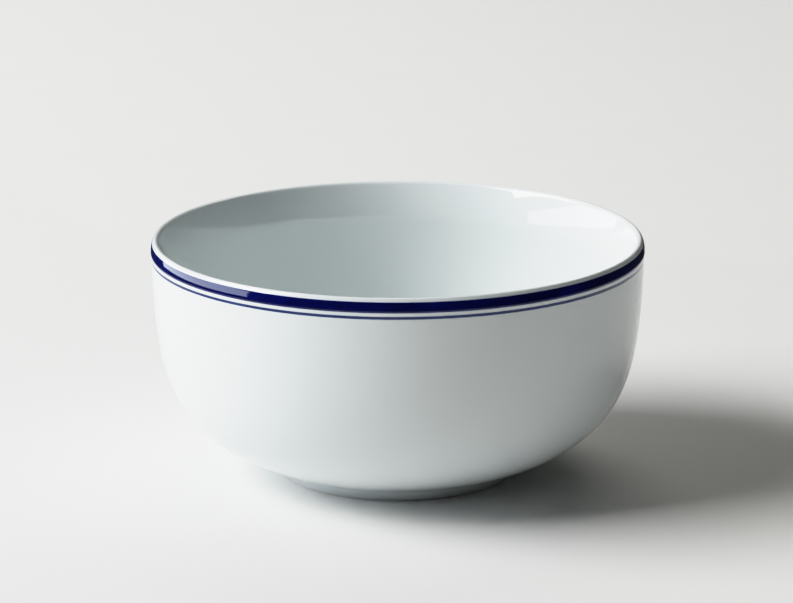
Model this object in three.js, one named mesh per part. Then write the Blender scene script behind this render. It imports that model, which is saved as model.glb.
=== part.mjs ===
// A deep porcelain serving bowl on a small foot ring, glazed all over but for the face that it stands on, with a wide
// cobalt band and a fine line under the lip. Millimetres, +Z up. The origin is on the bowl's axis, level with the
// surface that the bowl stands on.
import * as THREE from "three";

// The whole bowl.
const RADIUS = 115;
const HEIGHT = 112;

// Clay.
const LIP_THICKNESS = 4.2;
const LIP_OUTER_RISE = 5.6; // from where the outside starts to curve inwards up to the crest
const LIP_INNER_RISE = 2.4; // the same on the inside, if the lip curved on until it was upright
const LIP_END_ANGLE = (156 / 180) * Math.PI; // how far over the lip its inner side goes on
const WALL_THICKNESS = 8.1; // below the flare inside the rim
const FLOOR_TOP = 13.4; // the inside of the floor, at its middle

// The outside of the wall is a curve from the foot to the fine line. Its handles are shares of the radius and height.
const BELLY_HANDLE = { radius: 0.94, height: 0.2 };
const SHOULDER_HANDLE = { radius: 0.987, height: 0.41 };
const COLLAR_FLARE = 0.2; // how much wider the bowl is under the lip than at the fine line

// Along the wall's curve, from 0 at the foot to 1 at the fine line.
const FLOOR_START = 0.2;
const RIM_FLARE_START = 0.95;

// The curve of the inside of the floor, as shares of the radius where it meets the wall.
const FLOOR_CURVE_REACH = 0.2;
const FLOOR_FLAT = 0.55;

// The foot ring and the recess inside it.
const FOOT_HEIGHT = 6;
const FOOT_TOP_RADIUS = 60.5;
const FOOT_BOTTOM_RADIUS = 54.9;
const BEARING_WIDTH = 2.2; // the flat, bare face that the bowl stands on
const RECESS_RADIUS = 48.8;
const RECESS_HEIGHT = 5.6;
const RECESS_CORNER = 1.2;

// Glaze and colour.
const GLAZE = 0.35;
const BOND_GAP = 0.02; // keeps the coat's solid clear of the clay's
const COLOUR_DEPTH = 0.15; // how deep the cobalt sits in the glaze
const GLAZE_START = 0.9; // the height at which the glaze stops short of the bearing face
const BAND_BOTTOM = HEIGHT - 6.4;
const BAND_TOP_ANGLE = (45 / 180) * Math.PI; // how far round the lip's outer side the band reaches
const LINE_TOP = HEIGHT - 8;
const LINE_BOTTOM = HEIGHT - 9.3;

// How finely curves are cut into straight pieces.
const TURN_STEPS = 48;
const WALL_STEPS = 10;
const INNER_WALL_STEPS = 6;
const RIM_FLARE_STEPS = 3;
const FLOOR_STEPS = 4;
const LIP_STEPS = 2; // for each of the lip's three parts: the band's, the outer and the inner

// Points and curves are (distance from the axis, height).
const at = (radius, height) => new THREE.Vector2(radius, height);

const WALL_TOP = HEIGHT - LIP_OUTER_RISE;
const LINE_BOTTOM_RADIUS = RADIUS - COLLAR_FLARE;
const share = (handle) => at(handle.radius * RADIUS, handle.height * HEIGHT);
const wallCurve = new THREE.CubicBezierCurve(
  at(FOOT_TOP_RADIUS, FOOT_HEIGHT),
  share(BELLY_HANDLE),
  share(SHOULDER_HANDLE),
  at(LINE_BOTTOM_RADIUS, LINE_BOTTOM),
);

// Above the wall's curve, the decorated collar is a straight cone up to the foot of the lip.
function collarPoint(height) {
  const along = (height - LINE_BOTTOM) / (WALL_TOP - LINE_BOTTOM);
  return at(THREE.MathUtils.lerp(LINE_BOTTOM_RADIUS, RADIUS, along), height);
}

// The lip is a flat ellipse's quarter inside and a tall one's outside. The angle is 0 on the outside of the wall, a
// quarter turn at the crest, and more than that on the inside.
function lipPoint(angle) {
  const rise = angle < Math.PI / 2 ? LIP_OUTER_RISE : LIP_INNER_RISE;
  const radius = RADIUS + (LIP_THICKNESS / 2) * (Math.cos(angle) - 1);
  return at(radius, HEIGHT + rise * (Math.sin(angle) - 1));
}

// The points after the first one of a stretch of the lip.
function lipArc(from, to) {
  const points = [];
  for (let step = 1; step <= LIP_STEPS; step += 1) {
    points.push(lipPoint(THREE.MathUtils.lerp(from, to, step / LIP_STEPS)));
  }
  return points;
}

// The inside of the rim curves on from the lip, down to where the wall has its full thickness.
function rimFlare(wallStart) {
  const lipEnd = lipPoint(LIP_END_ANGLE);
  const halfWay = (lipEnd.y + wallStart.y) / 2;
  const lipSlope = (LIP_THICKNESS / 2 / LIP_INNER_RISE) * Math.tan(LIP_END_ANGLE);
  const handle = at(lipEnd.x + lipSlope * (lipEnd.y - halfWay), halfWay);
  return new THREE.QuadraticBezierCurve(lipEnd, handle, wallStart).getPoints(RIM_FLARE_STEPS).slice(1, -1);
}

// The direction that a profile runs in at each of its points. On the axis it is level.
function direction(profile, index) {
  const point = profile[index];
  const before = profile[index - 1] ?? point;
  const acrossAxis = at(-before.x, before.y);
  const after = profile[index + 1] ?? (point.x === 0 ? acrossAxis : point);
  return after.clone().sub(before).normalize();
}

// A profile moved sideways, to the left of the way that it runs, or to the right if the distance is negative.
function shifted(profile, distance) {
  return profile.map((point, index) => {
    const along = direction(profile, index);
    return at(point.x - along.y * distance, point.y + along.x * distance);
  });
}

// The inside of the wall, from below the rim down to where the floor takes over. It is the outside moved inwards.
function innerWall() {
  const points = [];
  for (let step = INNER_WALL_STEPS; step >= 0; step -= 1) {
    const along = THREE.MathUtils.lerp(FLOOR_START, RIM_FLARE_START, step / INNER_WALL_STEPS);
    const tangent = wallCurve.getTangent(along);
    const inwards = at(-tangent.y, tangent.x).multiplyScalar(WALL_THICKNESS);
    points.push(wallCurve.getPoint(along).add(inwards));
  }
  return points;
}

// The inside of the floor, from the end of the inner wall to the axis, level at its middle.
function innerFloor(wallEnd, wallSlope) {
  const reach = FLOOR_CURVE_REACH * wallEnd.x;
  const curve = new THREE.CubicBezierCurve(
    wallEnd,
    wallEnd.clone().addScaledVector(wallSlope, reach),
    at(FLOOR_FLAT * wallEnd.x, FLOOR_TOP),
    at(0, FLOOR_TOP),
  );
  return curve.getPoints(FLOOR_STEPS).slice(1);
}

// The glazed surface, from the bottom of the foot's outer side, up the wall, over the lip and down to the middle of
// the floor. The clay is always on its left.
const footSide = [at(FOOT_BOTTOM_RADIUS + GLAZE_START, GLAZE_START)];
const outerWall = wallCurve.getPoints(WALL_STEPS);
const lineFace = [LINE_BOTTOM, LINE_TOP].map(collarPoint);
const bandFace = [...[BAND_BOTTOM, WALL_TOP].map(collarPoint), ...lipArc(0, BAND_TOP_ANGLE)];
const inner = innerWall();
const lastSlope = inner.at(-1).clone().sub(inner.at(-2)).normalize();
const floor = innerFloor(inner.at(-1), lastSlope);
const undecorated = [...footSide, ...outerWall.slice(0, -1)];
const bareLip = [...lipArc(BAND_TOP_ANGLE, Math.PI / 2), ...lipArc(Math.PI / 2, LIP_END_ANGLE)];
const lipAndInside = [...bareLip, ...rimFlare(inner[0]), ...inner, ...floor];
const surface = [...undecorated, ...lineFace, ...bandFace, ...lipAndInside];
const coatBack = shifted(surface, GLAZE);
const clay = shifted(surface, GLAZE + BOND_GAP);

// The cobalt is sunk into the glaze, flush with its surface.
const lineBed = shifted(lineFace, COLOUR_DEPTH);
const bandBed = shifted(bandFace, COLOUR_DEPTH);

// The glazed surface inside the foot ring, from its bottom edge to the axis. The clay is always on its right.
const recessSide = RECESS_RADIUS + RECESS_CORNER;
const recess = [
  at(FOOT_BOTTOM_RADIUS - BEARING_WIDTH - GLAZE_START, GLAZE_START),
  at(recessSide, RECESS_HEIGHT - RECESS_CORNER),
  at(RECESS_RADIUS, RECESS_HEIGHT),
  at(0, RECESS_HEIGHT),
];
const recessCoatBack = shifted(recess, -GLAZE);
const recessClay = shifted(recess, -GLAZE - BOND_GAP);

// The ring and the body meet on the seat, from the corner of the recess to the crease under the wall.
const clayAboveSeat = clay.slice(footSide.length);
const clayBelowSeat = clay.slice(0, footSide.length + 1);
const bodyUnderside = recessClay.slice(2).reverse();
const ringInside = recessClay.slice(0, 3).reverse();
const bearingFace = [at(FOOT_BOTTOM_RADIUS - BEARING_WIDTH, 0), at(FOOT_BOTTOM_RADIUS, 0)];

const closed = (profile) => [...profile, profile[0].clone()];

const profiles = {
  porcelain_body: [...bodyUnderside, ...clayAboveSeat],
  foot_ring: closed([...bearingFace, ...clayBelowSeat, ...ringInside]),
  glaze_coat: [
    ...coatBack.toReversed(),
    ...undecorated,
    ...[lineFace[0], ...lineBed, lineFace.at(-1)],
    ...[bandFace[0], ...bandBed, bandFace.at(-1)],
    ...lipAndInside,
  ],
  base_glaze: [...recess.toReversed(), ...recessCoatBack],
  wide_band: closed([...bandFace, ...bandBed.toReversed()]),
  fine_line: closed([...lineFace, ...lineBed.toReversed()]),
};

const bisque = { color: 0xe9e7e0, roughness: 0.75 };
const glaze = { color: 0xe4eaea, roughness: 0.06 };
const cobalt = { color: 0x0b1250, roughness: 0.06 };
const finishes = {
  porcelain_body: bisque,
  foot_ring: bisque,
  glaze_coat: glaze,
  base_glaze: glaze,
  wide_band: cobalt,
  fine_line: cobalt,
};

const bowl = new THREE.Group();
for (const [name, profile] of Object.entries(profiles)) {
  const material = new THREE.MeshStandardMaterial({ ...finishes[name], metalness: 0 });
  const piece = new THREE.Mesh(new THREE.LatheGeometry(profile, TURN_STEPS), material);
  piece.name = name;
  piece.rotation.x = Math.PI / 2; // a lathe turns about Y, and the bowl stands along Z
  bowl.add(piece);
}

export default bowl;
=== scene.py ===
import math

import bpy
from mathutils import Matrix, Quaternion, Vector


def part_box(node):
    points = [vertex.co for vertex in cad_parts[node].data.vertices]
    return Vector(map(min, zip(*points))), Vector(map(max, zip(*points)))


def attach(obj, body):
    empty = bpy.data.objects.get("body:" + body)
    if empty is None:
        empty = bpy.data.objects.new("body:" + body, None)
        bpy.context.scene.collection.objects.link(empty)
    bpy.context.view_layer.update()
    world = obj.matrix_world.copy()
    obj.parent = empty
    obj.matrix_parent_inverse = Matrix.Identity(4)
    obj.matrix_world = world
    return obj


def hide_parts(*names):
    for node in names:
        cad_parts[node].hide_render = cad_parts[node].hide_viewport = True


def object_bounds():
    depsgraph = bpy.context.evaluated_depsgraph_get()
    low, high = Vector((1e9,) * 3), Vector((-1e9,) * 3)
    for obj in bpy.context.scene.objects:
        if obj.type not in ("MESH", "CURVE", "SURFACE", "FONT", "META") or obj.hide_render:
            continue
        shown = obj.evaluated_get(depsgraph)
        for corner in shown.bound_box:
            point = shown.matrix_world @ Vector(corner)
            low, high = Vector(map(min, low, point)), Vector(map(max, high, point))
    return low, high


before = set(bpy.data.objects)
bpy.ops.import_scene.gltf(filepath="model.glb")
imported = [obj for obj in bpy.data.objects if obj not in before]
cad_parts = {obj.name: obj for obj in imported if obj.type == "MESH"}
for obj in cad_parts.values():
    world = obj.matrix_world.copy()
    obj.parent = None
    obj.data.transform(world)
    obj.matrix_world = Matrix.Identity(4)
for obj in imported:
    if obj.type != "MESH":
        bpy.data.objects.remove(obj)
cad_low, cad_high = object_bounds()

# A deep porcelain serving bowl with a cobalt band and a fine line under the lip, on a pale studio floor.
# Metres, +Z up. Azimuths go round the bowl's axis: 0 is the camera's side, and 90 is to the camera's left.

MM = 0.001

# ---------------------------------------------------------------- sizes

# The bowl's main sizes, from the CAD frame.
RADIUS = cad_high.x
HEIGHT = cad_high.z
BAND_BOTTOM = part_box("wide_band")[0].z
BAND_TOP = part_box("wide_band")[1].z
LINE_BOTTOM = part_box("fine_line")[0].z
LINE_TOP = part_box("fine_line")[1].z

# The same driving dimensions as the CAD source has. Handles are (radius, height).
LIP_THICKNESS = 4.2 * MM
LIP_OUTER_RISE = 5.6 * MM
LIP_INNER_RISE = 2.4 * MM
LIP_END_ANGLE = math.radians(156)
BAND_TOP_ANGLE = math.radians(45)
WALL_THICKNESS = 8.1 * MM
COLLAR_FLARE = 0.2 * MM
BELLY_HANDLE = Vector((0.94 * RADIUS, 0.2 * HEIGHT))
SHOULDER_HANDLE = Vector((0.987 * RADIUS, 0.41 * HEIGHT))
FLOOR_START = 0.2
RIM_FLARE_START = 0.95
FLOOR_TOP = 13.4 * MM
FLOOR_CURVE_REACH = 0.2
FLOOR_FLAT = 0.55
FOOT_HEIGHT = 6 * MM
FOOT_TOP_RADIUS = 60.5 * MM
FOOT_BOTTOM_RADIUS = 54.9 * MM
BEARING_WIDTH = 2.2 * MM
RECESS_RADIUS = 48.8 * MM
RECESS_HEIGHT = 5.6 * MM
RECESS_CORNER = 1.2 * MM
GLAZE = 0.35 * MM
BOND_GAP = 0.02 * MM
COLOUR_DEPTH = 0.15 * MM
GLAZE_START = 0.9 * MM
WALL_TOP = HEIGHT - LIP_OUTER_RISE
LINE_BOTTOM_RADIUS = RADIUS - COLLAR_FLARE

# Glaze softens the corners that it runs over. A softened corner's curve starts and ends this far from it.
FOOT_CREASE_REACH = 0.35 * MM
RIM_CREASE_REACH = 2 * MM
RECESS_CORNER_REACH = 1.8 * MM

# How finely curves are cut into straight pieces.
TURN_STEPS = 256
WALL_STEPS = 56
INNER_WALL_STEPS = 44
RIM_FLARE_STEPS = 14
FLOOR_STEPS = 32
COLLAR_STEPS = 3
LIP_STEPS = 12  # for each of the lip's three parts: the band's, the outer and the inner
CORNER_STEPS = 6
SMOOTH_UP_TO = math.radians(35)  # faces that meet at a larger angle than this keep a sharp edge
AXIS_TOLERANCE = 1e-9  # a point nearer to the axis than this is on it

# ---------------------------------------------------------------- looks

# The glaze, and the cobalt that lies in it.
GLAZE_COLOUR = (0.768, 0.82, 0.823, 1)
POOLED_GLAZE = (0.66, 0.745, 0.745, 1)
BLED_COBALT = (0.26, 0.36, 0.66, 1)
SPECK_COLOUR = (0.42, 0.4, 0.36, 1)
DENSE_COBALT = (0.0008, 0.0012, 0.034, 1)
THIN_COBALT = (0.002, 0.006, 0.15, 1)
LINE_COBALT = (0.001, 0.006, 0.055, 1)
THIN_LINE_COBALT = (0.003, 0.026, 0.2, 1)
COBALT_SHEEN = (0.8, 0.84, 1, 1)
GLAZE_IOR = 1.58
WAVE_SIZE = 45 * MM
WAVE_DEPTH = 0.1 * MM
ORANGE_PEEL_SIZE = 2.6 * MM
ORANGE_PEEL_DEPTH = 0.0012 * MM
BRUSH_MARK_SIZE = 1.4 * MM
BRUSH_MARK_DEPTH = 0.002 * MM
POOL_REACH = 1.5 * MM  # above and below the crease over the foot
POOL_SHARE = 0.7
BLEED_REACH = 0.32 * MM  # how far cobalt spreads in the molten glaze, and thins out at its own edges
BLEED_SHARE = 0.55
BLEED_SIDE = 1.5 * MM  # there is none farther in than this from the bowl's full radius
SPECK_SPACING = 24 * MM
SPECK_CORE = 0.006  # these two are shares of the spacing
SPECK_EDGE = 0.012
SPECK_CHANCE = 0.28  # the share of the places for a speck that have one

# The bare clay of the bearing face.
CLAY_COLOUR = (0.8, 0.78, 0.74, 1)
CLAY_STAIN = (0.62, 0.59, 0.54, 1)
CLAY_GRAIN_SIZE = 0.5 * MM
CLAY_GRAIN_DEPTH = 0.01 * MM
TURNING_MARK_SIZE = 0.35 * MM
TURNING_MARK_DEPTH = 0.02 * MM

# The studio's matt pale paper.
FLOOR_COLOUR = (0.83, 0.83, 0.815, 1)
FLOOR_MOTTLE = (0.82, 0.82, 0.805, 1)
PAPER_GRAIN_SIZE = 1.5 * MM
PAPER_GRAIN_DEPTH = 0.01 * MM

# Nearly all of a noise lies between these.
NOISE_LOW = 0.3
NOISE_HIGH = 0.7

# ---------------------------------------------------------------- studio

# The floor runs from the bowl out to a tall pale backdrop. In the glaze only the table shows: a disc under
# the bowl, and the part behind it between two azimuths. Past the table the glaze mirrors a dark room.
TABLE_RADIUS = 0.43
TABLE_BEHIND_START = math.radians(158)
TABLE_BEHIND_END = math.radians(210)
TABLE_BEHIND_STEPS = 12
BOUNCING_FLOOR_RADIUS = 2  # the floor farther out sends no light back to the bowl
BACKDROP_RADIUS = 6
BACKDROP_HEIGHT = 4
SWEEP_RADIUS = 1.5
SWEEP_STEPS = 12

CAMERA_DISTANCE = 14 * RADIUS
CAMERA_ELEVATION = math.radians(15.05)
CAMERA_ROLL = math.radians(-0.09)
CAMERA_LENS = 156  # these two are in millimetres, as Blender takes them
SENSOR_WIDTH = 36
AIM = Vector((-0.0053 * RADIUS, 0, 0.6966 * RADIUS))

SOFTBOX_DISTANCE = 4
ROOM_LIGHT = (0.02, 0.02, 0.02, 1)

# Linear light and how bright it is shown: the darker half as it is, and the brighter half pressed together.
SHOULDER = ((0.2, 0.2), (0.45, 0.45), (0.6, 0.59), (0.75, 0.7), (0.95, 0.81), (1.4, 0.9))
BRIGHTEST_LIGHT = 2.2
BRIGHTEST_SHOWN = 0.96


# ---------------------------------------------------------------- profiles: points are (radius, height)


def cubic(p0, p1, p2, p3, t):
    """The point of a cubic Bezier curve at t, and the direction that the curve runs in there."""
    s = 1 - t
    point = p0 * s**3 + p1 * (3 * s * s * t) + p2 * (3 * s * t * t) + p3 * t**3
    slope = (p1 - p0) * (s * s) + (p2 - p1) * (2 * s * t) + (p3 - p2) * (t * t)
    return point, slope.normalized()


def quadratic(start, handle, end, steps):
    """Points along a quadratic Bezier curve, with both of its ends."""
    points = []
    for step in range(steps + 1):
        t = step / steps
        points.append(start * (1 - t) ** 2 + handle * (2 * t * (1 - t)) + end * t**2)
    return points


def left_of(along):
    return Vector((-along.y, along.x))


def wall_point(t):
    """The outside of the wall, from 0 at the foot to 1 at the line, and the direction that it runs in."""
    foot = Vector((FOOT_TOP_RADIUS, FOOT_HEIGHT))
    line = Vector((LINE_BOTTOM_RADIUS, LINE_BOTTOM))
    return cubic(foot, BELLY_HANDLE, SHOULDER_HANDLE, line, t)


def collar_points(low, high):
    """Evenly spaced points up the straight cone between the wall's curve and the lip."""
    points = []
    for step in range(COLLAR_STEPS + 1):
        height = low + (high - low) * step / COLLAR_STEPS
        share = (height - LINE_BOTTOM) / (WALL_TOP - LINE_BOTTOM)
        radius = LINE_BOTTOM_RADIUS + (RADIUS - LINE_BOTTOM_RADIUS) * share
        points.append(Vector((radius, height)))
    return points


def lip_point(angle):
    """The angle is 0 on the outside of the wall, a quarter turn at the crest, and more on the inside."""
    rise = LIP_OUTER_RISE if angle < math.pi / 2 else LIP_INNER_RISE
    radius = RADIUS + LIP_THICKNESS / 2 * (math.cos(angle) - 1)
    return Vector((radius, HEIGHT + rise * (math.sin(angle) - 1)))


def lip_arc(start, end):
    """The points after the first one of a stretch of the lip."""
    return [lip_point(start + (end - start) * step / LIP_STEPS) for step in range(1, LIP_STEPS + 1)]


def rim_flare(wall_start):
    """The inside of the rim, from the lip down to the wall's full thickness, without its two ends."""
    lip_end = lip_point(LIP_END_ANGLE)
    half_way = (lip_end.y + wall_start.y) / 2
    lip_slope = LIP_THICKNESS / 2 / LIP_INNER_RISE * math.tan(LIP_END_ANGLE)
    handle = Vector((lip_end.x + lip_slope * (lip_end.y - half_way), half_way))
    return quadratic(lip_end, handle, wall_start, RIM_FLARE_STEPS)[1:-1]


def inner_wall():
    """The inside of the wall, downwards: the outside moved inwards."""
    points = []
    for step in reversed(range(INNER_WALL_STEPS + 1)):
        t = FLOOR_START + (RIM_FLARE_START - FLOOR_START) * step / INNER_WALL_STEPS
        point, along = wall_point(t)
        points.append(point + left_of(along) * WALL_THICKNESS)
    return points


def inner_floor(wall):
    """The inside of the floor, from the end of the inner wall to the axis, where it is level."""
    end = wall[-1]
    slope = (wall[-1] - wall[-2]).normalized()
    p1 = end + slope * (FLOOR_CURVE_REACH * end.x)
    p2 = Vector((FLOOR_FLAT * end.x, FLOOR_TOP))
    p3 = Vector((0, FLOOR_TOP))
    return [cubic(end, p1, p2, p3, step / FLOOR_STEPS)[0] for step in range(1, FLOOR_STEPS + 1)]


def direction(profile, index):
    """The way that a profile runs at one of its points. On the axis it is level."""
    point = profile[index]
    before = profile[max(index - 1, 0)]
    if index + 1 < len(profile):
        after = profile[index + 1]
    elif point.x == 0:
        after = Vector((-before.x, before.y))
    else:
        after = point
    return (after - before).normalized()


def shifted(profile, distance):
    """A profile moved to the left of the way that it runs, or to the right if the distance is negative."""
    return [point + left_of(direction(profile, index)) * distance for index, point in enumerate(profile)]


def rounded(profile, corner, reach):
    """The profile with one corner replaced by a curve that starts and ends `reach` away from it."""
    here = profile[corner]
    start = here + (profile[corner - 1] - here).normalized() * reach
    end = here + (profile[corner + 1] - here).normalized() * reach
    return profile[:corner] + quadratic(start, here, end, CORNER_STEPS) + profile[corner + 1 :]


def without_near(profile, corner, reach):
    """The profile without the points within `reach` of one of its corners, apart from the corner itself."""
    return [point for point in profile if point is corner or (point - corner).length > reach]


# The glazed surface, from the bottom of the foot's outer side, up the wall, over the lip and down to the
# middle of the floor. The clay is always on its left.
foot_side = [Vector((FOOT_BOTTOM_RADIUS + GLAZE_START, GLAZE_START))]
outer_wall = [wall_point(step / WALL_STEPS)[0] for step in range(WALL_STEPS)]
below_line = rounded(foot_side + outer_wall, len(foot_side), FOOT_CREASE_REACH)
line_face = collar_points(LINE_BOTTOM, LINE_TOP)
between = collar_points(LINE_TOP, BAND_BOTTOM)[1:-1]
band_face = collar_points(BAND_BOTTOM, WALL_TOP) + lip_arc(0, BAND_TOP_ANGLE)
bare_lip = lip_arc(BAND_TOP_ANGLE, math.pi / 2) + lip_arc(math.pi / 2, LIP_END_ANGLE)
inside_wall = inner_wall()
rim_crease = inside_wall[0]
inside = bare_lip + rim_flare(rim_crease) + inside_wall + inner_floor(inside_wall)
inside = without_near(inside, rim_crease, RIM_CREASE_REACH)
over_lip = rounded(inside, inside.index(rim_crease), RIM_CREASE_REACH)
surface = below_line + line_face + between + band_face + over_lip
coat_back = shifted(surface, GLAZE)
clay = shifted(surface, GLAZE + BOND_GAP)

# The cobalt is sunk into the glaze, flush with its surface.
line_bed = shifted(line_face, COLOUR_DEPTH)
band_bed = shifted(band_face, COLOUR_DEPTH)

# The glazed surface inside the foot ring, from its bottom edge to the axis. The clay is on its right.
recess_edge = Vector((FOOT_BOTTOM_RADIUS - BEARING_WIDTH - GLAZE_START, GLAZE_START))
recess_corner = Vector((RECESS_RADIUS + RECESS_CORNER / 2, RECESS_HEIGHT))
recess = rounded([recess_edge, recess_corner, Vector((0, RECESS_HEIGHT))], 1, RECESS_CORNER_REACH)
recess_coat_back = shifted(recess, -GLAZE)
recess_clay = shifted(recess, -GLAZE - BOND_GAP)

# The ring and the body meet on the seat, from the corner of the recess to the crease under the wall.
seat_end = len(foot_side) + CORNER_STEPS // 2 + 1  # in the clay, just past the middle of the crease's curve
bearing_face = [Vector((FOOT_BOTTOM_RADIUS - BEARING_WIDTH, 0)), Vector((FOOT_BOTTOM_RADIUS, 0))]

profiles = {
    "porcelain_body": [*reversed(recess_clay[-2:]), *clay[seat_end:]],
    "foot_ring": [*bearing_face, *clay[: seat_end + 1], *reversed(recess_clay[:-1])],
    "glaze_coat": [
        *reversed(coat_back),
        *below_line,
        *[line_face[0], *line_bed, line_face[-1]],
        *between,
        *[band_face[0], *band_bed, band_face[-1]],
        *over_lip,
    ],
    "base_glaze": [*reversed(recess), *recess_coat_back],
    "wide_band": [*band_face, *reversed(band_bed)],
    "fine_line": [*line_face, *reversed(line_bed)],
}
closed_profiles = ("foot_ring", "wide_band", "fine_line")


# ---------------------------------------------------------------- meshes


def add_mesh(name, vertices, faces, material):
    mesh = bpy.data.meshes.new(name)
    mesh.from_pydata(vertices, [], faces)
    mesh.materials.append(material)
    made = bpy.data.objects.new(name, mesh)
    bpy.context.scene.collection.objects.link(made)
    return made


def turned(name, profile, material, closes=False):
    """A mesh turned about the Z axis. The profile may close on itself, and its ends may lie on the axis."""
    vertices = []
    rings = []
    for point in profile:
        if abs(point.x) < AXIS_TOLERANCE:
            rings.append([len(vertices)])
            vertices.append((0, 0, point.y))
            continue
        ring = []
        for step in range(TURN_STEPS):
            angle = 2 * math.pi * step / TURN_STEPS
            ring.append(len(vertices))
            vertices.append((point.x * math.cos(angle), point.x * math.sin(angle), point.y))
        rings.append(ring)
    pairs = list(zip(rings, rings[1:]))
    if closes:
        pairs.append((rings[-1], rings[0]))
    faces = []
    for ring, following in pairs:
        for step in range(TURN_STEPS):
            after = (step + 1) % TURN_STEPS
            if len(ring) == 1:
                faces.append((ring[0], following[after], following[step]))
            elif len(following) == 1:
                faces.append((ring[step], ring[after], following[0]))
            else:
                faces.append((ring[step], ring[after], following[after], following[step]))
    made = add_mesh(name, vertices, faces, material)
    made.data.shade_smooth()
    made.data.set_sharp_from_angle(angle=SMOOTH_UP_TO)
    return made


# ---------------------------------------------------------------- materials


class Shading:
    """A material with a Principled shader, and the node arrangements that the materials are made of."""

    def __init__(self, name):
        self.material = bpy.data.materials.new(name)
        self.material.use_nodes = True
        self.tree = self.material.node_tree
        self.shader = self.tree.nodes["Principled BSDF"]
        self.place = self.node("ShaderNodeTexCoord").outputs["Object"]

    def node(self, kind, **inputs):
        """A node whose inputs are linked to other nodes' outputs, or set to plain values."""
        made = self.tree.nodes.new(kind)
        for name, value in inputs.items():
            self.set_input(made, name.replace("_", " "), value)
        return made

    def set_input(self, node, name, value):
        if isinstance(value, bpy.types.NodeSocket):
            self.tree.links.new(value, node.inputs[name])
        else:
            node.inputs[name].default_value = value

    def set_shader(self, **inputs):
        for name, value in inputs.items():
            self.set_input(self.shader, name.replace("_", " "), value)

    def math(self, operation, first, second=0):
        node = self.tree.nodes.new("ShaderNodeMath")
        node.operation = operation
        self.set_input(node, 0, first)
        self.set_input(node, 1, second)
        return node.outputs[0]

    def height(self):
        return self.node("ShaderNodeSeparateXYZ", Vector=self.place).outputs["Z"]

    def axis_distance(self):
        parts = self.node("ShaderNodeSeparateXYZ", Vector=self.place)
        x_squared = self.math("MULTIPLY", parts.outputs["X"], parts.outputs["X"])
        y_squared = self.math("MULTIPLY", parts.outputs["Y"], parts.outputs["Y"])
        return self.math("POWER", self.math("ADD", x_squared, y_squared), 0.5)

    def noise(self, size, detail=2, squeeze=(1, 1, 1)):
        """Noise from 0 to 1. Its features are about this size, divided along each axis by the squeeze."""
        mapping = self.node("ShaderNodeMapping", Vector=self.place, Scale=squeeze)
        noise = self.node("ShaderNodeTexNoise", Vector=mapping.outputs[0], Scale=1 / size, Detail=detail)
        return noise.outputs["Fac"]

    def ramp(self, value, start, end, low=0, high=1, smooth=False):
        """Goes from low to high as the value goes from start to end."""
        node = self.node("ShaderNodeMapRange", Value=value)
        node.interpolation_type = "SMOOTHSTEP" if smooth else "LINEAR"
        for name, number in (("From Min", start), ("From Max", end), ("To Min", low), ("To Max", high)):
            node.inputs[name].default_value = number
        return node.outputs["Result"]

    def wandering(self, size, low, high, detail=2):
        """A value that wanders between low and high, over stretches of about this size."""
        return self.ramp(self.noise(size, detail), NOISE_LOW, NOISE_HIGH, low, high)

    def uneven_height(self, size, most):
        """The height, but up to `most` off, so that what depends on it isn't quite level."""
        return self.math("ADD", self.height(), self.wandering(size, -most, most))

    def near(self, place, height, reach):
        """1 where the place is at this height, falling smoothly to 0 at `reach` above and below it."""
        off = self.math("SUBTRACT", place, height)
        return self.ramp(self.math("ABSOLUTE", off), reach, 0, smooth=True)

    def mixed(self, share, first, second):
        """The first colour, with a share of the second one. Either may be another node's output."""
        node = self.tree.nodes.new("ShaderNodeMix")
        node.data_type = "RGBA"  # a Mix node's colour sockets are its inputs 6 and 7 and its output 2
        self.set_input(node, 0, share)
        self.set_input(node, 6, first)
        self.set_input(node, 7, second)
        return node.outputs[2]

    def bumped(self, *layers):
        """Gives the shader a bump from pairs of (height from 0 to 1, its depth in metres)."""
        normal = None
        for height, depth in layers:
            node = self.node("ShaderNodeBump", Height=height, Distance=depth, Strength=1.0)
            if normal:
                self.tree.links.new(normal, node.inputs["Normal"])
            normal = node.outputs["Normal"]
        self.tree.links.new(normal, self.shader.inputs["Normal"])


def glaze_wave(shading):
    """The long, faint waves of the glaze's surface, over the white and the cobalt alike."""
    return shading.noise(WAVE_SIZE, detail=1), WAVE_DEPTH


def glaze_specks(shading):
    """Rare specks of iron in the glaze, under half a millimetre across."""
    cells = shading.node("ShaderNodeTexVoronoi", Vector=shading.place, Scale=1 / SPECK_SPACING)
    speck = shading.ramp(cells.outputs["Distance"], SPECK_EDGE, SPECK_CORE)
    choice = shading.node("ShaderNodeSeparateColor", Color=cells.outputs["Color"]).outputs[0]
    chosen = shading.math("GREATER_THAN", choice, 1 - SPECK_CHANCE)
    return shading.math("MULTIPLY", speck, chosen)


def glaze_bleed(shading):
    """Where cobalt has spread into the glaze beside the band and the line, on the outside of the rim."""
    outside = shading.math("GREATER_THAN", shading.axis_distance(), RADIUS - BLEED_SIDE)
    place = shading.uneven_height(size=6 * MM, most=0.08 * MM)
    near = shading.near(place, LINE_BOTTOM, BLEED_REACH)
    for height in (LINE_TOP, BAND_BOTTOM, BAND_TOP):
        near = shading.math("MAXIMUM", near, shading.near(place, height, BLEED_REACH))
    return shading.math("MULTIPLY", shading.math("MULTIPLY", outside, near), BLEED_SHARE)


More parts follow.
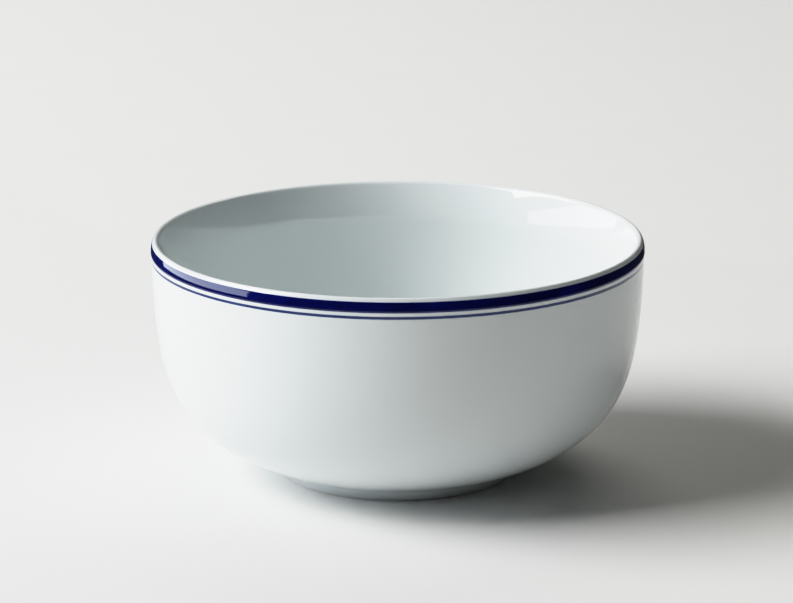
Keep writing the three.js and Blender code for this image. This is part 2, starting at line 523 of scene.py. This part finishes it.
def glaze_material():
    """Clear glaze over white porcelain: pooled in the crease above the foot, and a little wavy all over."""
    shading = Shading("clear_glaze_on_porcelain")
    tone = shading.wandering(size=70 * MM, low=0, high=0.1)
    colour = shading.mixed(tone, GLAZE_COLOUR, POOLED_GLAZE)
    pooled = shading.math("MULTIPLY", shading.near(shading.height(), FOOT_HEIGHT, POOL_REACH), POOL_SHARE)
    colour = shading.mixed(pooled, colour, POOLED_GLAZE)
    colour = shading.mixed(glaze_bleed(shading), colour, BLED_COBALT)
    colour = shading.mixed(glaze_specks(shading), colour, SPECK_COLOUR)
    roughness = shading.wandering(size=18 * MM, low=0.02, high=0.045, detail=4)
    shading.set_shader(Base_Color=colour, Roughness=roughness, IOR=GLAZE_IOR)
    shading.bumped(glaze_wave(shading), (shading.noise(ORANGE_PEEL_SIZE), ORANGE_PEEL_DEPTH))
    return shading.material


def cobalt_material(name, dense, thin, low, high):
    """Cobalt laid on with a brush while the bowl turns: streaky along the turn, and thinner at its edges."""
    shading = Shading(name)
    streaky = shading.noise(size=5 * MM, detail=4, squeeze=(0.35, 0.35, 8))
    streaks = shading.ramp(streaky, start=0.4, end=0.75, high=0.6)
    patches = shading.ramp(shading.noise(size=26 * MM), start=0.4, end=0.7, high=0.5)
    colour = shading.mixed(shading.math("MAXIMUM", streaks, patches), dense, thin)
    place = shading.uneven_height(size=4 * MM, most=0.1 * MM)
    for edge in (low, high):
        colour = shading.mixed(shading.near(place, edge, BLEED_REACH), colour, thin)
    roughness = shading.wandering(size=9 * MM, low=0.03, high=0.07, detail=3)
    shading.set_shader(Base_Color=colour, Roughness=roughness)
    shading.set_shader(IOR=GLAZE_IOR, Specular_Tint=COBALT_SHEEN)
    brush_marks = shading.noise(BRUSH_MARK_SIZE, detail=3, squeeze=(0.3, 0.3, 3))
    shading.bumped(glaze_wave(shading), (brush_marks, BRUSH_MARK_DEPTH))
    return shading.material


def clay_material():
    """Bare fired clay, with the marks of turning and some grey from years of tables."""
    shading = Shading("fired_clay")
    stain = shading.ramp(shading.noise(size=7 * MM, detail=5), start=0.45, end=0.75, high=0.7)
    colour = shading.mixed(stain, CLAY_COLOUR, CLAY_STAIN)
    grain = shading.noise(CLAY_GRAIN_SIZE, detail=5)
    roughness = shading.ramp(grain, NOISE_LOW, NOISE_HIGH, low=0.62, high=0.82)
    shading.set_shader(Base_Color=colour, Roughness=roughness)
    outwards = shading.node("ShaderNodeCombineXYZ", X=shading.axis_distance()).outputs[0]
    turning = shading.node("ShaderNodeTexNoise", Vector=outwards, Scale=1 / TURNING_MARK_SIZE, Detail=2)
    shading.bumped((turning.outputs["Fac"], TURNING_MARK_DEPTH), (grain, CLAY_GRAIN_DEPTH))
    return shading.material


def floor_material():
    """Matt pale paper."""
    shading = Shading("studio_floor")
    mottle = shading.wandering(size=60 * MM, low=0, high=1, detail=5)
    colour = shading.mixed(mottle, FLOOR_COLOUR, FLOOR_MOTTLE)
    shading.set_shader(Base_Color=colour, Roughness=0.9, Specular_IOR_Level=0.2)
    shading.bumped((shading.noise(PAPER_GRAIN_SIZE, detail=4), PAPER_GRAIN_DEPTH))
    return shading.material


# ---------------------------------------------------------------- the bowl


glaze = glaze_material()
band_cobalt = cobalt_material("cobalt_band", DENSE_COBALT, THIN_COBALT, BAND_BOTTOM, BAND_TOP)
line_cobalt = cobalt_material("cobalt_line", LINE_COBALT, THIN_LINE_COBALT, LINE_BOTTOM, LINE_TOP)
fired_clay = clay_material()

# Each node's slot in the record, and its material here.
looks = {
    "porcelain_body": ("fired_clay", fired_clay),
    "foot_ring": ("fired_clay", fired_clay),
    "glaze_coat": ("clear_glaze", glaze),
    "base_glaze": ("clear_glaze", glaze),
    "wide_band": ("cobalt", band_cobalt),
    "fine_line": ("cobalt", line_cobalt),
}
for node, (slot, material) in looks.items():
    piece = turned("fine_" + node, profiles[node], material, closes=node in closed_profiles)
    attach(piece, "root")
    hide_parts(node)


# ---------------------------------------------------------------- stage, camera and light


def backdrop_profile():
    """Out along the floor, up round a sweep, and up the backdrop."""
    points = [Vector((BOUNCING_FLOOR_RADIUS, 0))]
    for step in range(SWEEP_STEPS + 1):
        angle = math.pi / 2 * step / SWEEP_STEPS
        radius = BACKDROP_RADIUS - SWEEP_RADIUS * (1 - math.sin(angle))
        points.append(Vector((radius, SWEEP_RADIUS * (1 - math.cos(angle)))))
    return points + [Vector((BACKDROP_RADIUS, BACKDROP_HEIGHT))]


def make_floor(material):
    """The floor and backdrop in three rings. Only the first is mirrored, and the last bounces no light."""
    under = [Vector((0, 0)), Vector((TABLE_RADIUS, 0))]
    around = [Vector((TABLE_RADIUS, 0)), Vector((BOUNCING_FLOOR_RADIUS, 0))]
    for name, profile in (("under", under), ("around", around), ("far", backdrop_profile())):
        ring = turned("studio_floor_" + name, profile, material)
        ring.data.flip_normals()
        ring.visible_glossy = name == "under"
        ring.visible_diffuse = name != "far"


def make_table_behind(material):
    """The part of the table behind the bowl. Only the glaze sees it, and all else sees the floor's rings."""
    vertices = []
    faces = []
    for step in range(TABLE_BEHIND_STEPS + 1):
        share = step / TABLE_BEHIND_STEPS
        azimuth = TABLE_BEHIND_START + (TABLE_BEHIND_END - TABLE_BEHIND_START) * share
        for radius in (TABLE_RADIUS, BOUNCING_FLOOR_RADIUS):
            vertices.append((-math.sin(azimuth) * radius, -math.cos(azimuth) * radius, 0))
        if step > 0:
            faces.append((2 * step - 2, 2 * step, 2 * step + 1, 2 * step - 1))
    table = add_mesh("table_behind", vertices, faces, material)
    table.visible_camera = False
    table.visible_diffuse = False
    table.visible_shadow = False


def make_camera():
    data = bpy.data.cameras.new("camera")
    data.lens = CAMERA_LENS
    data.sensor_width = SENSOR_WIDTH
    camera = bpy.data.objects.new("camera", data)
    back = Vector((0, -math.cos(CAMERA_ELEVATION), math.sin(CAMERA_ELEVATION)))
    camera.location = AIM + back * CAMERA_DISTANCE
    camera.rotation_mode = "QUATERNION"
    tilt = Quaternion((1, 0, 0), math.pi / 2 - CAMERA_ELEVATION)
    camera.rotation_quaternion = tilt @ Quaternion((0, 0, 1), CAMERA_ROLL)
    bpy.context.scene.collection.objects.link(camera)
    bpy.context.scene.camera = camera


def softbox(name, azimuth, elevation, width, height, power, colour=(1, 1, 1)):
    """An area light aimed at the bowl, with its angles in degrees."""
    data = bpy.data.lights.new(name, "AREA")
    data.shape = "RECTANGLE"
    data.size = width
    data.size_y = height
    data.energy = power
    data.color = colour
    light = bpy.data.objects.new(name, data)
    azimuth = math.radians(azimuth)
    elevation = math.radians(elevation)
    level = Vector((-math.sin(azimuth), -math.cos(azimuth), 0))
    away = level * math.cos(elevation) + Vector((0, 0, math.sin(elevation)))
    light.location = Vector((0, 0, HEIGHT / 2)) + away * SOFTBOX_DISTANCE
    light.rotation_mode = "QUATERNION"
    light.rotation_quaternion = away.to_track_quat("Z", "Y")
    light.visible_camera = False
    bpy.context.scene.collection.objects.link(light)


def make_lights():
    """Three softboxes. The low one reaches below the floor, and the glaze mirrors it to the table's edge."""
    softbox("key", azimuth=84, elevation=38, width=2.9, height=2.2, power=258)
    softbox("low_left", azimuth=103, elevation=3.5, width=5, height=1.7, power=130, colour=(0.8, 0.87, 1))
    softbox("back", azimuth=186, elevation=45, width=3, height=1.2, power=34, colour=(1, 0.98, 0.9))


def make_world():
    world = bpy.data.worlds.new("studio")
    world.use_nodes = True
    world.node_tree.nodes["Background"].inputs["Color"].default_value = ROOM_LIGHT
    bpy.context.scene.world = world


def soften_highlights():
    settings = bpy.context.scene.view_settings
    settings.view_transform = "Standard"
    settings.use_curve_mapping = True
    mapping = settings.curve_mapping
    mapping.white_level = (BRIGHTEST_LIGHT,) * 3
    curve = mapping.curves[3]  # the one for all channels together
    curve.points[-1].location = (1, BRIGHTEST_SHOWN)
    for light, shown in SHOULDER:
        curve.points.new(light / BRIGHTEST_LIGHT, shown)
    mapping.update()


floor = floor_material()
make_floor(floor)
make_table_behind(floor)
make_camera()
make_lights()
make_world()
soften_highlights()
